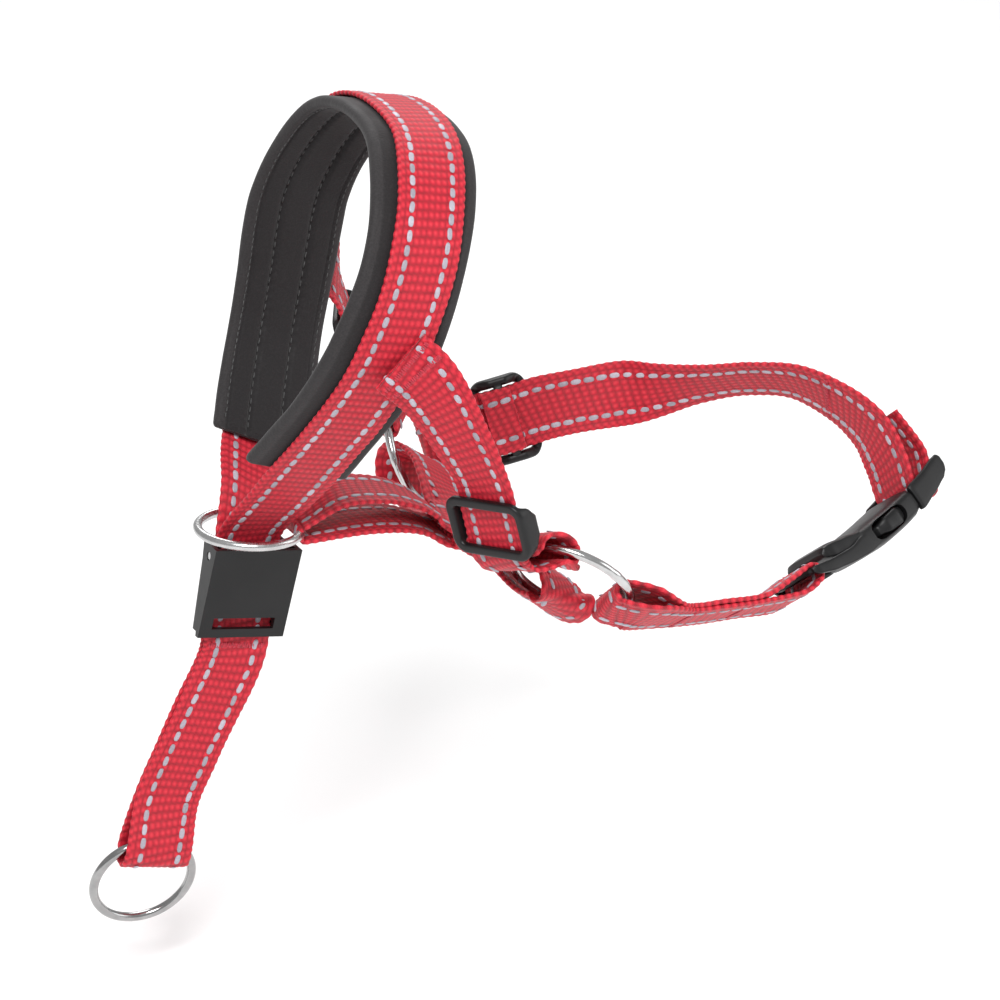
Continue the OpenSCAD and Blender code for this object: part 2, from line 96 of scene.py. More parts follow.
TAB_TOP, TAB_DIR = V(-31.7, 0, -68), unit([-1.75, 0, -10])
TAB_EDGE = V(-TAB_DIR[2], 0, TAB_DIR[0])
LAYER = WEB_T / 2 + 0.25
LEAD_FOLD, LEAD_DIR = V(-63.6, 0, -160.5), unit([-0.22, 0, -0.975])
LEAD_EDGE = V(-LEAD_DIR[2], 0, LEAD_DIR[0])
NOSE_NEAR = edged([[15, -2, 53], [13, -25, 49.2], [6, -43, 36], [-1.5, -51, 18]], [0.97, 0, -0.2])
NOSE_NEAR_LOW = edged([[-9.5, -50, -2], [-16, -41, -20], [-22, -28, -37], [-27, -14, -53]],
                      [0.96, -0.08, -0.26])
NOSE_FAR_LOW = edged([[-27, 8, -58], [-18.5, 26, -48], [-7.5, 42, -29], [-0.5, 46, -8]],
                     [0.96, 0.05, -0.27])
NOSE_FAR = edged([[4.5, 43, 17], [10, 34, 35.8], [14.2, 19, 49]], [0.97, 0, -0.2])


def tab_side(side):
    y = V(0, side * LAYER, 0)
    run = edged([TAB_TOP + TAB_DIR * s + y for s in (0, 12.5, 25, 37.5)], TAB_EDGE)
    low = edged([V(x, side * LAYER, z) for x, z in ((-46, -120), (-53.5, -134), (-59.5, -146))],
                LEAD_EDGE)
    end = edged([LEAD_FOLD - LEAD_DIR * 2.4 + V(0, side * 3.4, 0)], LEAD_EDGE)
    return run + low + end


NOSE = (NOSE_NEAR + NOSE_NEAR_LOW + tab_side(-1)
        + fold(LEAD_FOLD + LEAD_DIR * 2.4, V(0, -1, 0), LEAD_DIR, 3.4, LEAD_EDGE)
        + tab_side(1)[::-1] + NOSE_FAR_LOW + NOSE_FAR)

LEAD_PIVOT = LEAD_FOLD + LEAD_DIR * 0.3
LEAD_HANG = LEAD_DIR * math.cos(math.radians(18)) + V(0, 1, 0) * math.sin(math.radians(18))
LEAD_AT = LEAD_PIVOT + LEAD_HANG * (SMALL_R - 2)
LEAD_AXIS = unit(np.cross(LEAD_EDGE, LEAD_HANG))

NEAR_OUT = outward(NEAR_AXIS, [-0.65, -0.14, 0.75])
NEAR_EDGE = np.cross(NEAR_AXIS, NEAR_OUT)
NEAR_FOLD = NEAR_AT + NEAR_OUT * (SIDE_R - SIDE_SINK)
NS_AT, NS_DIR = V(18.5, -55, -54.5), unit([0.24, 0, -0.98])
NS_EDGE = outward(NS_DIR, [0.446, -0.886, 0.113])
NS_FACE = np.cross(NS_DIR, NS_EDGE)
FAR_OUT = outward(FAR_AXIS, [-0.44, 0.15, 0.88])
FAR_EDGE = np.cross(FAR_OUT, FAR_AXIS)
FAR_FOLD = FAR_AT + FAR_OUT * (SIDE_R - SIDE_SINK)
FS_AT, FS_DIR = V(25, 55, -33), unit([0.3, 0, -0.95])
FS_EDGE = outward(FS_DIR, [0.446, 0.886, 0.113])
FS_FACE = np.cross(FS_EDGE, FS_DIR)

CHEEK_NEAR = (edged([[-8, -52.8, -3]], [0.8, 0, 0.6]) + edged([[-1, -53.4, -10.5]], [0.72, -0.4, 0.5])
              + edged([[6, -54, -22]], [0.62, -0.7, 0.27])
              + edged([NS_AT + NS_DIR * s for s in (-14, -5, 4, 11)], NS_EDGE)
              + edged([[25.4, -55, -68.8]], NEAR_EDGE)
              + fold(NEAR_FOLD, -NEAR_AXIS, -NEAR_OUT, FOLD_R + 0.6, NEAR_EDGE)
              + edged([NEAR_AT + NEAR_OUT * SIDE_R + NEAR_AXIS * (FOLD_R + 0.9),
                       [31.3, -51.8, -61.4], [26.6, -52.3, -63.4]], NEAR_EDGE))
CHEEK_FAR = (edged([[4, 50, 12]], [0.8, 0, 0.6]) + edged([[10, 52.3, 3]], [0.75, 0.25, 0.55])
             + edged([[16, 54.2, -8]], [0.68, 0.55, 0.4])
             + edged([FS_AT + FS_DIR * s for s in (-14, -5, 4, 12)], FS_EDGE)
             + edged([[30.5, 56.4, -54]], FAR_EDGE)
             + fold(FAR_FOLD, -FAR_AXIS, -FAR_OUT, FOLD_R, FAR_EDGE)
             + edged([FAR_AT + FAR_OUT * SIDE_R + FAR_AXIS * (FOLD_R + 0.3), [36.4, 51.2, -53]],
                     FAR_EDGE)
             + edged([[33.6, 51.6, -47.6]], FS_EDGE))

CHIN_OUT = outward(CHIN_AXIS, [1, 0, 0])
STEM_JOIN = V(38, 0, -79.5)
CROSS_DIR = unit([0, 1, 0.15])
CROSS_EDGE = unit([0.93, 0.05, -0.33])
CROSS_FACE = np.cross(CROSS_EDGE, CROSS_DIR)
STEM_ON = 1.5 * WEB_T + 0.5


def stem_end(side):
    return edged([STEM_JOIN + CROSS_EDGE * x + CROSS_FACE * STEM_ON * side for x in (9, 0, -11)],
                 CROSS_DIR)


STEM = (stem_end(1)
        + edged([[24.6, 0, -70.6], [18, 0, -65.6], [8, 0, -61.8], [-5, 0, -60.5]], [0, 1, 0.05])
        + fold(CHIN_AT + CHIN_OUT * SMALL_R, CHIN_AXIS, -CHIN_OUT, FOLD_R, V(0, 1, 0))
        + edged([[0, 0, -70], [12, 0, -71.5], [20, 0, -74.2]], [0, 1, 0.05])
        + stem_end(-1)[::-1])
STEM_BOWS = [0, 0, 0, 0, 0, 0, 0.35, 1, 1, 1, 1, 1, 0, 0, 0, 0, 0, 0]
NEAR_LOBE = [0.76, 0.12, -0.64]
FAR_LOBE = [0.8, 0.1, -0.55]
CROSS = (edged([STEM_JOIN + CROSS_DIR * y + CROSS_FACE * LAYER for y in (11, 0, -11)], CROSS_EDGE)
         + edged([[39, -22, -77.6], [40.8, -34, -76.6], [42.6, -41, -77.2], [43.4, -46, -78.8],
                  [43.2, -50, -83], [42.2, -46.5, -87.2], [40, -38, -88.2], [38.7, -23, -85.4]],
                 NEAR_LOBE)
         + edged([STEM_JOIN + CROSS_DIR * y - CROSS_FACE * LAYER for y in (-11, 0, 11)], CROSS_EDGE)
         + edged([[39, 22, -84.5], [41, 32, -89.5], [42, 43, -91.5], [42, 52, -88], [42, 54, -82],
                  [42, 51.5, -76], [42, 43, -72.5], [41.2, 32, -72.3], [39, 22, -74]], FAR_LOBE))

BK_AT, BK_X = V(118.5, -50, -93.5), unit([0.91, 0.33, 0.224])
BK_SIDE = V(0.14, -0.78, 0.61)
BK_Y = -unit(BK_SIDE - BK_X * np.dot(BK_SIDE, BK_X))
BK_Z = np.cross(BK_X, BK_Y)


def in_buckle(x, z, y=0.0):
    return BK_AT + BK_X * x + BK_Y * y + BK_Z * z


SHORT_DIR = unit([0.93, -0.25, -0.3])
SHORT_SIDE = outward(SHORT_DIR, NEAR_AXIS)
SHORT_FOLD = NEAR_AT + outward(NEAR_AXIS, SHORT_DIR) * (SIDE_R - SIDE_SINK)
SHORT_R = FOLD_R + 0.8
SHORT_EDGE = np.cross(SHORT_DIR, SHORT_SIDE)
MID_EDGE = [0.1, -0.82, 0.58]
BAR_R = 2.1 + WEB_T / 2
SHORT = (edged([[102, -53.4, -94.6], [88, -55, -93.2], [75, -55.6, -91.6]], MID_EDGE)
         + edged([SHORT_FOLD + SHORT_DIR * 8 + SHORT_SIDE * SHORT_R], SHORT_EDGE)
         + fold(SHORT_FOLD, SHORT_SIDE, -SHORT_DIR, SHORT_R, SHORT_EDGE)
         + edged([SHORT_FOLD + SHORT_DIR * 8 - SHORT_SIDE * SHORT_R], SHORT_EDGE)
         + edged([[75, -55.9, -93.1], [88, -55.3, -94.7], [102, -53.7, -96.1]], MID_EDGE)
         + edged([in_buckle(-5, -BAR_R), in_buckle(1.6, -BAR_R), in_buckle(3.5, -1.9),
                  in_buckle(1.6 + BAR_R, 0), in_buckle(3.5, 1.9), in_buckle(1.6, BAR_R),
                  in_buckle(-5, BAR_R)], -BK_Y))

KS_AT, KS_DIR = V(76.5, 55, -70.5), unit([0.93, -0.27, 0.24])
KS_EDGE = outward(KS_DIR, [0.05, 0.3, 0.95])
KS_FACE = np.cross(KS_EDGE, KS_DIR)
NECK_OUT = outward(FAR_AXIS, [0.9, 0.42, -0.1])
NECK_EDGE = np.cross(FAR_AXIS, NECK_OUT)
NECK_R = FOLD_R + 1.7
NECK_FOLD = FAR_AT + NECK_OUT * (SIDE_R - 1.7)
NECK = (edged([KS_AT - KS_DIR * 13 - KS_FACE * 4.6], KS_EDGE)
        + edged([NECK_FOLD - NECK_OUT * NECK_R + FAR_AXIS * 3], NECK_EDGE)
        + fold(NECK_FOLD, -NECK_OUT, -FAR_AXIS, NECK_R, NECK_EDGE)
        + edged([KS_AT + KS_DIR * s for s in (-12, -4, 4, 14)], KS_EDGE)
        + edged([[107, 42, -63]], [0.15, 0.15, 0.97]) + edged([[118, 35, -61]], [0, -0.3, 0.95])
        + edged([[130, 28, -58.5]], [-0.1, -0.6, 0.78]) + edged([[142, 19, -56]], [-0.1, -0.7, 0.7])
        + edged([[151.2, 8.3, -55.2]], [-0.09, -0.77, 0.63]) + edged([[158, -5, -58]], [-0.02, -0.8, 0.6])
        + edged([[162.4, -17, -63.5]], [0.08, -0.83, 0.56])
        + edged([[163.6, -25.5, -71]], [0.15, -0.85, 0.5])
        + edged([in_buckle(51.6, 4.2), in_buckle(52.3, 0), in_buckle(55.4, -2.7), in_buckle(58.5, 0),
                 in_buckle(59.2, 4.2)], -BK_Y)
        + edged([[171.3, -23.5, -71]], [0.15, -0.85, 0.5])
        + edged([[166.6, -16.5, -61.5]], [0.08, -0.83, 0.56]))


# ---------- sampling a route ----------
class Run:
    """A strap's middle line, finely sampled: place, along, across and face at each row."""

    def __init__(self, route, closed, step=0.5, start=None, end=None):
        r = np.array(route)
        n = len(r)
        self.closed = closed and start is None
        if closed:
            get = lambda i: r[i % n]
        else:
            def get(i):
                if i < 0:
                    return 2 * r[0] - r[1]
                return 2 * r[n - 1] - r[n - 2] if i >= n else r[i]
        start = 0.0 if start is None else start
        end = float(n if closed else n - 1) if end is None else end
        us = []
        i = math.floor(start)
        while i < end:
            lo, hi = max(start, i), min(end, i + 1)
            length = np.linalg.norm(get(i + 1)[:3] - get(i)[:3]) * (hi - lo)
            k = max(2, int(math.ceil(length / step)))
            us += [lo + (hi - lo) * j / k for j in range(k)]
            i += 1
        if not self.closed:
            us.append(end - 1e-9)
        self.u = np.array(us)
        cells = np.floor(self.u).astype(int)
        t = (self.u - cells)[:, None]
        a, b, c, d = (np.array([get(int(k) + o) for k in cells]) for o in (-1, 0, 1, 2))
        p = 0.5 * (2 * b + (c - a) * t + (2 * a - 5 * b + 4 * c - d) * t * t
                   + (3 * b - a - 3 * c + d) * t ** 3)
        g = 0.5 * ((c - a) + 2 * (2 * a - 5 * b + 4 * c - d) * t + 3 * (3 * b - a - 3 * c + d) * t * t)
        self.p = p[:, :3]
        self.along = g[:, :3] / np.linalg.norm(g[:, :3], axis=1)[:, None]
        e = p[:, 3:] - self.along * np.sum(p[:, 3:] * self.along, axis=1)[:, None]
        self.across = e / np.linalg.norm(e, axis=1)[:, None]
        self.face = np.cross(self.along, self.across)
        gaps = np.linalg.norm(np.diff(self.p, axis=0), axis=1)
        self.s = np.concatenate([[0], np.cumsum(gaps)])
        self.length = self.s[-1] + (np.linalg.norm(self.p[0] - self.p[-1]) if self.closed else 0)
        self.bow = np.zeros((len(self.u), 3))

    def at(self, s):
        def pick(a):
            return np.array([np.interp(s, self.s, a[:, k]) for k in range(3)])
        return pick(self.p), unit(pick(self.along)), unit(pick(self.across)), unit(pick(self.face)), \
            pick(self.bow)

    def near(self, point):
        return self.s[np.argmin(np.linalg.norm(self.p - V(*point), axis=1))]


# ---------- meshes ----------
def mesh_object(name, points, faces, material, attrs=None):
    """points in mm; faces a list of index lists or an array of quads."""
    me = bpy.data.meshes.new(name)
    points = np.asarray(points, float) * MM
    if isinstance(faces, np.ndarray):
        counts = np.full(len(faces), faces.shape[1], np.int32)
        loops = faces.ravel().astype(np.int32)
    else:
        counts = np.array([len(f) for f in faces], np.int32)
        loops = np.array([k for f in faces for k in f], np.int32)
    me.vertices.add(len(points))
    me.vertices.foreach_set("co", points.astype(np.float32).ravel())
    me.loops.add(len(loops))
    me.loops.foreach_set("vertex_index", loops)
    me.polygons.add(len(counts))
    me.polygons.foreach_set("loop_start", np.concatenate([[0], np.cumsum(counts)[:-1]]).astype(np.int32))
    me.update(calc_edges=True)
    me.validate()
    for key, values in (attrs or {}).items():
        a = me.attributes.new(key, "FLOAT", "POINT")
        a.data.foreach_set("value", np.asarray(values, np.float32))
    me.shade_smooth()
    ob = bpy.data.objects.new(name, me)
    bpy.context.scene.collection.objects.link(ob)
    me.materials.append(material)
    return ob


def join_parts(parts):
    points, faces, base = [], [], 0
    for p, f in parts:
        points.append(p)
        faces += [[k + base for k in q] for q in f]
        base += len(p)
    return np.concatenate(points), faces


def web_height(y, s, side):
    """Height of the weave over the strap's face, in mm."""
    pitch, row = 1.75, 2.5
    col = np.round(y / pitch)
    cross = np.abs(np.cos(np.pi * y / pitch))
    rows = 0.5 + 0.5 * np.cos(2 * np.pi * (s / row + 0.13 * col + 0.5 * side))
    twist = 0.5 + 0.5 * np.cos(2 * np.pi * (s / 1.25 + 0.3 * y))
    edge = np.clip((np.abs(y) - 8.9) / 0.6, 0, 1)
    scallop = 0.5 + 0.5 * np.cos(2 * np.pi * s / row)
    return (1 - edge) * (0.21 * cross ** 0.8 * rows ** 0.8 + 0.03 * twist) + edge * 0.22 * scallop


def webbing(name, run, body, nodes, seed):
    width, thick = WEB_W, WEB_T
    r = thick / 2
    half = width / 2 - r
    cols = 50
    y0 = np.linspace(-half, half, cols)
    arc = [math.radians(a) for a in (22, 50, 90, 130, 158)]
    y = np.concatenate([y0, [half + r * math.sin(a) for a in arc], y0[::-1],
                        [-half - r * math.sin(a) for a in arc]])
    z = np.concatenate([np.full(cols, r), [r * math.cos(a) for a in arc], np.full(cols, -r),
                        [-r * math.cos(a) for a in arc]])
    ny = np.concatenate([np.zeros(cols), [math.sin(a) for a in arc], np.zeros(cols),
                         [-math.sin(a) for a in arc]])
    nz = np.concatenate([np.ones(cols), [math.cos(a) for a in arc], -np.ones(cols),
                         [-math.cos(a) for a in arc]])
    m = len(y)
    s = run.s[:, None]
    side = (z < 0).astype(float)[None, :]
    high = web_height(y[None, :], s, side)
    rng = np.random.default_rng(seed + 11)
    phase = rng.uniform(0, 6.28, 4)
    wave = (0.16 * np.sin(s / 11 + phase[0]) + 0.1 * np.sin(s / 4.3 + phase[1])) * np.sign(y)[None, :] \
        * (np.abs(y)[None, :] / (width / 2)) ** 4
    cup = 0.1 * np.sin(s / 17 + phase[2]) * (y[None, :] / (width / 2)) ** 2
    yy = y[None, :] + ny[None, :] * (high - 0.05) + wave
    zz = z[None, :] + nz[None, :] * (high - 0.05) + cup
    v2 = (y[None, :] / (width / 2)) ** 2
    pts = (run.p[:, None, :] + run.across[:, None, :] * yy[..., None]
           + run.face[:, None, :] * zz[..., None] + run.bow[:, None, :] * v2[..., None])
    n = len(run.s)
    rows = n if run.closed else n - 1
    i = np.arange(rows)[:, None]
    j = np.arange(m)[None, :]
    a, b = i * m + j, ((i + 1) % n) * m + j
    c, d = ((i + 1) % n) * m + (j + 1) % m, i * m + (j + 1) % m
    quads = np.stack([a, d, c, b], axis=-1).reshape(-1, 4)
    pts = pts.reshape(-1, 3)
    ones = np.ones_like(zz)
    # the weave height also goes to the colour, as painted shade in the valleys and a painted highlight on the
    # raised tops
    attrs = {"weave_height_shade": (high * ones).ravel() / 0.26, "web_y": (y[None, :] * ones).ravel(),
             "web_s": (s * ones).ravel()}
    faces = quads
    if not run.closed:
        ends = []
        for k, flip in ((0, False), (n - 1, True)):
            # a cut end: its face and its back are drawn together column by column
            top = [k * m + q for q in range(cols)]
            low = [k * m + cols + len(arc) + q for q in range(cols)][::-1]
            for q in range(cols - 1):
                f = [top[q], top[q + 1], low[q + 1], low[q]]
                ends.append(f[::-1] if flip else f)
            mid1 = [top[-1]] + [k * m + cols + q for q in range(len(arc))] + [low[-1]]
            mid2 = [low[0]] + [k * m + 2 * cols + len(arc) + q for q in range(len(arc))] + [top[0]]
            for f in (mid1, mid2):
                ends.append(f[::-1] if flip else f)
        faces = quads.tolist() + ends
    ob = mesh_object(name, pts, faces, M["webbing"], attrs=attrs)
    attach(ob, body)
    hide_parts(*nodes)
    marks = []
    for yrow in (-DASH_ROW, DASH_ROW):
        at = 1.2 + (0.7 if yrow > 0 else 0)
        while at < run.length - 1.0:
            for sd in (1, -1):
                marks.append((at, yrow, sd))
            at += DASH_PITCH
    dash(name + "_thread", run, marks, DASH_LONG, DASH_WIDE, DASH_HIGH, M["reflective"], body, rng, thick)
    return ob


def dash(name, run, marks, long, wide, high, material, body, rng, thick=WEB_T, turn=0.05):
    """Small rounded stitches lying on a strap at (along, across, side)."""
    ring = [math.radians(a) for a in range(0, 360, 36)]
    shape, faces = [(0, 0, 1.0)], []
    k = len(ring)
    for f, h in ((0.62, 0.86), (0.92, 0.42), (1.0, -0.1), (0.85, -0.6)):
        for a in ring:
            ca, sa = math.cos(a), math.sin(a)
            shape.append((f * math.copysign(abs(ca) ** 0.75, ca), f * math.copysign(abs(sa) ** 0.75, sa), h))
    shape.append((0, 0, -0.6))
    faces += [[0, 1 + q, 1 + (q + 1) % k] for q in range(k)]
    for lv in range(3):
        b0, b1 = 1 + lv * k, 1 + (lv + 1) * k
        faces += [[b0 + q, b1 + q, b1 + (q + 1) % k, b0 + (q + 1) % k] for q in range(k)]
    last = 1 + 3 * k
    faces += [[last + q, 1 + 4 * k, last + (q + 1) % k] for q in range(k)]
    shape = np.array(shape)
    parts = []
    for at, y, sd in marks:
        p, al, ac, fa, bow = run.at(at)
        t = rng.normal(0, turn)
        al2, ac2 = al * math.cos(t) + ac * math.sin(t), ac * math.cos(t) - al * math.sin(t)
        base = p + ac * (y + rng.normal(0, 0.06)) + fa * sd * (thick / 2 + 0.1) + bow * (y / 10) ** 2
        lo, wi = long * rng.uniform(0.93, 1.05), wide * rng.uniform(0.92, 1.06)
        pts = (base + np.outer(shape[:, 0] * lo, al2) + np.outer(shape[:, 1] * wi * sd, ac2)
               + np.outer(shape[:, 2] * high, fa * sd))
        parts.append((pts, faces))
    if not parts:
        return None
    pts, fc = join_parts(parts)
    long_at = np.tile(shape[:, 0], len(parts))
    ob = mesh_object(name, pts, fc, material, attrs={"dash_x": long_at,
                     "dash_n": np.repeat(rng.uniform(0, 1, len(parts)), len(shape))})
    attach(ob, body)
    return ob


def torus(name, at, axis, r, wire, seam, material, body, node):
    """A wire ring with its weld: a slight swelling with a fine groove on each side."""
    axis = unit(axis)
    x = outward(axis, seam)
    y = np.cross(axis, x)
    big, small = 192, 40
    pts = []
    for i in range(big):
        t = 2 * math.pi * i / big
        d = min(t, 2 * math.pi - t) * r
        swell = 1 + 0.07 * math.exp(-(d / 1.1) ** 2) - 0.05 * math.exp(-((d - 1.9) / 0.35) ** 2)
        out = x * math.cos(t) + y * math.sin(t)
        for j in range(small):
            a = 2 * math.pi * j / small
            rr = wire / 2 * swell * (1 + 0.012 * math.sin(3 * a + 5 * t))
            pts.append(at + out * (r + rr * math.cos(a)) + axis * rr * math.sin(a))
    i, j = np.arange(big)[:, None], np.arange(small)[None, :]
    a, b = i * small + j, ((i + 1) % big) * small + j
    c, d = ((i + 1) % big) * small + (j + 1) % small, i * small + (j + 1) % small
    ob = mesh_object(name, np.array(pts), np.stack([a, b, c, d], -1).reshape(-1, 4), material)
    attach(ob, body)
    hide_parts(node)
    return ob


# ---------- materials ----------
def new_material(name, rough=0.5, metallic=0.0, **sockets):
    m = bpy.data.materials.new(name)
    m.use_nodes = True
    t = m.node_tree
    b = t.nodes["Principled BSDF"]
    b.inputs["Roughness"].default_value = rough
    b.inputs["Metallic"].default_value = metallic
    for k, v in sockets.items():
        b.inputs[k.replace("_", " ")].default_value = v
    return m, t, b


def node(t, kind, **values):
    n = t.nodes.new(kind)
    for k, v in values.items():
        if k in n.inputs:
            n.inputs[k].default_value = v
        else:
            setattr(n, k, v)
    return n


def ramp(t, source, stops):
    r = t.nodes.new("ShaderNodeValToRGB")
    while len(r.color_ramp.elements) < len(stops):
        r.color_ramp.elements.new(0.5)
    for e, (pos, col) in zip(r.color_ramp.elements, stops):
        e.position = pos
        e.color = (*col, 1) if len(col) == 3 else col
    t.links.new(source, r.inputs[0])
    return r.outputs[0]


def math_node(t, op, a, b):
    n = t.nodes.new("ShaderNodeMath")
    n.operation = op
    for k, v in enumerate((a, b)):
        if isinstance(v, (int, float)):
            n.inputs[k].default_value = v
        else:
            t.links.new(v, n.inputs[k])
    return n.outputs[0]


def attribute(t, name):
    a = t.nodes.new("ShaderNodeAttribute")
    a.attribute_name = name
    return a.outputs["Fac"]


def noise(t, scale, detail=3.0, vector=None, rough=0.5):
    n = node(t, "ShaderNodeTexNoise", Scale=scale, Detail=detail, Roughness=rough)
    if vector is None:
        vector = t.nodes.new("ShaderNodeTexCoord").outputs["Object"]
    t.links.new(vector, n.inputs["Vector"])
    return n.outputs["Fac"]


def grey(v):
    return (v, v, v)


def make_webbing():
    m, t, b = new_material("webbing", Sheen_Weight=0.14, Sheen_Roughness=0.35, Specular_IOR_Level=0.4)
    b.inputs["Sheen Tint"].default_value = (1.0, 0.62, 0.66, 1)
    h, y, s = attribute(t, "weave_height_shade"), attribute(t, "web_y"), attribute(t, "web_s")
    xyz = t.nodes.new("ShaderNodeCombineXYZ")
    t.links.new(y, xyz.inputs[0])
    t.links.new(s, xyz.inputs[1])
    # yarn: fine filaments that run slightly across the strap
    yarn = node(t, "ShaderNodeTexWave", Scale=1.15, Distortion=2.2, Detail=2.0)
    yarn.inputs["Detail Scale"].default_value = 1.6
    yarn.bands_direction = "DIAGONAL"
    t.links.new(xyz.outputs[0], yarn.inputs["Vector"])
    mottle = noise(t, 0.35, 4.0, xyz.outputs[0])
    # colour follows the weave height: painted shade in the weave's valleys and a painted pink highlight on
    # its raised tops, over the yarn's own texture and mottle
    tone = math_node(t, "ADD", math_node(t, "MULTIPLY", h, 0.72),
                     math_node(t, "ADD", math_node(t, "MULTIPLY", yarn.outputs["Fac"], 0.14),
                               math_node(t, "MULTIPLY", mottle, 0.24)))
    col = ramp(t, tone, [(0.08, (0.14, 0.002, 0.008)), (0.3, (0.38, 0.006, 0.019)),
                         (0.6, (0.58, 0.011, 0.03)), (1.0, (0.76, 0.045, 0.065))])
    t.links.new(col, b.inputs["Base Color"])
    t.links.new(math_node(t, "ADD", math_node(t, "MULTIPLY", mottle, 0.2), 0.42), b.inputs["Roughness"])
    fine = noise(t, 3.2, 2.0, xyz.outputs[0])
    bump = node(t, "ShaderNodeBump", Strength=0.55, Distance=0.00012)
    t.links.new(math_node(t, "ADD", yarn.outputs["Fac"], math_node(t, "MULTIPLY", fine, 0.6)),
                bump.inputs["Height"])
    t.links.new(bump.outputs[0], b.inputs["Normal"])
    return m


def make_reflective():
    m, t, b = new_material("reflective_thread", Specular_IOR_Level=0.6, Sheen_Weight=0.15)
    x, n = attribute(t, "dash_x"), attribute(t, "dash_n")
    flake = noise(t, 2600.0, 2.0)
    tone = math_node(t, "ADD", math_node(t, "MULTIPLY", flake, 0.6), math_node(t, "MULTIPLY", n, 0.4))
    col = ramp(t, tone, [(0.1, (0.19, 0.175, 0.205)), (0.55, (0.37, 0.345, 0.4)), (0.9, (0.56, 0.53, 0.6))])
    t.links.new(col, b.inputs["Base Color"])
    t.links.new(ramp(t, flake, [(0.3, grey(0.28)), (0.7, grey(0.55))]), b.inputs["Roughness"])
    bump = node(t, "ShaderNodeBump", Strength=0.4, Distance=0.00008)
    t.links.new(flake, bump.inputs["Height"])
    t.links.new(bump.outputs[0], b.inputs["Normal"])
    return m


def make_thread():
    m, t, b = new_material("seam_thread", rough=0.55, Specular_IOR_Level=0.45, Sheen_Weight=0.2)
    f = noise(t, 1500.0, 2.0)
    t.links.new(ramp(t, f, [(0.3, (0.3, 0.01, 0.025)), (0.7, (0.62, 0.03, 0.06))]), b.inputs["Base Color"])
    bump = node(t, "ShaderNodeBump", Strength=0.4, Distance=0.00008)
    t.links.new(f, bump.inputs["Height"])
    t.links.new(bump.outputs[0], b.inputs["Normal"])
    return m


def make_pad():
    m, t, b = new_material("neoprene", Sheen_Weight=0.1, Sheen_Roughness=0.5, Specular_IOR_Level=0.25)
    y, s, rim = attribute(t, "pad_y"), attribute(t, "pad_s"), attribute(t, "pad_rim")
    xyz = t.nodes.new("ShaderNodeCombineXYZ")
    t.links.new(y, xyz.inputs[0])
    t.links.new(s, xyz.inputs[1])
    knit = node(t, "ShaderNodeTexVoronoi", Scale=1.9)
    t.links.new(xyz.outputs[0], knit.inputs["Vector"])
    soft = noise(t, 0.12, 4.0, xyz.outputs[0])
    tone = math_node(t, "ADD", math_node(t, "MULTIPLY", knit.outputs["Distance"], 0.35),
                     math_node(t, "ADD", math_node(t, "MULTIPLY", soft, 0.45),
                               math_node(t, "MULTIPLY", rim, 0.4)))
    col = ramp(t, tone, [(0.15, (0.009, 0.0078, 0.0083)), (0.5, (0.016, 0.014, 0.0148)),
                         (1.0, (0.034, 0.031, 0.032))])
    t.links.new(col, b.inputs["Base Color"])
    t.links.new(ramp(t, soft, [(0.3, grey(0.62)), (0.7, grey(0.82))]), b.inputs["Roughness"])
    bump = node(t, "ShaderNodeBump", Strength=0.45, Distance=0.0001)
    t.links.new(knit.outputs["Distance"], bump.inputs["Height"])
    t.links.new(bump.outputs[0], b.inputs["Normal"])
    return m


def make_plastic():
    m, t, b = new_material("black_plastic", Specular_IOR_Level=0.34)
    grain = noise(t, 1800.0, 4.0)
    large = noise(t, 60.0, 4.0)
    t.links.new(ramp(t, large, [(0.3, (0.0045, 0.0045, 0.005)), (0.7, (0.0085, 0.0085, 0.009))]),
                b.inputs["Base Color"])
    t.links.new(ramp(t, large, [(0.25, grey(0.33)), (0.75, grey(0.48))]), b.inputs["Roughness"])
    bump = node(t, "ShaderNodeBump", Strength=0.22, Distance=0.00005)
    t.links.new(grain, bump.inputs["Height"])
    t.links.new(bump.outputs[0], b.inputs["Normal"])
    return m


def make_metal(name, low, high, r0, r1):
    m, t, b = new_material(name, metallic=1.0)
    f = noise(t, 240.0, 4.0)
    t.links.new(ramp(t, f, [(0.3, grey(low)), (0.7, grey(high))]), b.inputs["Base Color"])
    t.links.new(ramp(t, noise(t, 900.0, 3.0), [(0.3, grey(r0)), (0.75, grey(r1))]), b.inputs["Roughness"])
    bump = node(t, "ShaderNodeBump", Strength=0.06, Distance=0.00005)
    t.links.new(f, bump.inputs["Height"])
    t.links.new(bump.outputs[0], b.inputs["Normal"])
    return m


M = {"webbing": make_webbing(), "reflective": make_reflective(), "thread": make_thread(),
     "pad": make_pad(), "plastic": make_plastic(),
     "nickel": make_metal("polished_nickel", 0.5, 0.62, 0.12, 0.22),
     "satin": make_metal("satin_steel", 0.5, 0.6, 0.22, 0.32),
     "dark_nickel": make_metal("dark_nickel", 0.3, 0.4, 0.14, 0.24)}


# ---------- straps ----------
nose = Run(NOSE, True)
nose_web = webbing("nose_webbing", nose, "halter", ["nose_band"], 1)
cheek_near = Run(CHEEK_NEAR, False)
webbing("cheek_webbing_near", cheek_near, "halter", ["cheek_strap_near"], 2)
cheek_far = Run(CHEEK_FAR, False)
webbing("cheek_webbing_far", cheek_far, "halter", ["cheek_strap_far"], 3)
cross = Run(CROSS, True)
webbing("chin_cross_webbing", cross, "halter", ["chin_cross_strap"], 4)
stem = Run(STEM, False)
bows = np.interp(stem.u, range(len(STEM_BOWS)), STEM_BOWS)
stem.bow = -CHIN_OUT[None, :] * bows[:, None]
webbing("chin_stem_webbing", stem, "halter", ["chin_stem_strap"], 5)
neck = Run(NECK, False)
webbing("neck_webbing_long", neck, "halter", ["neck_strap_long"], 6)
short = Run(SHORT, True)
webbing("neck_webbing_short", short, "halter", ["neck_strap_short"], 7)


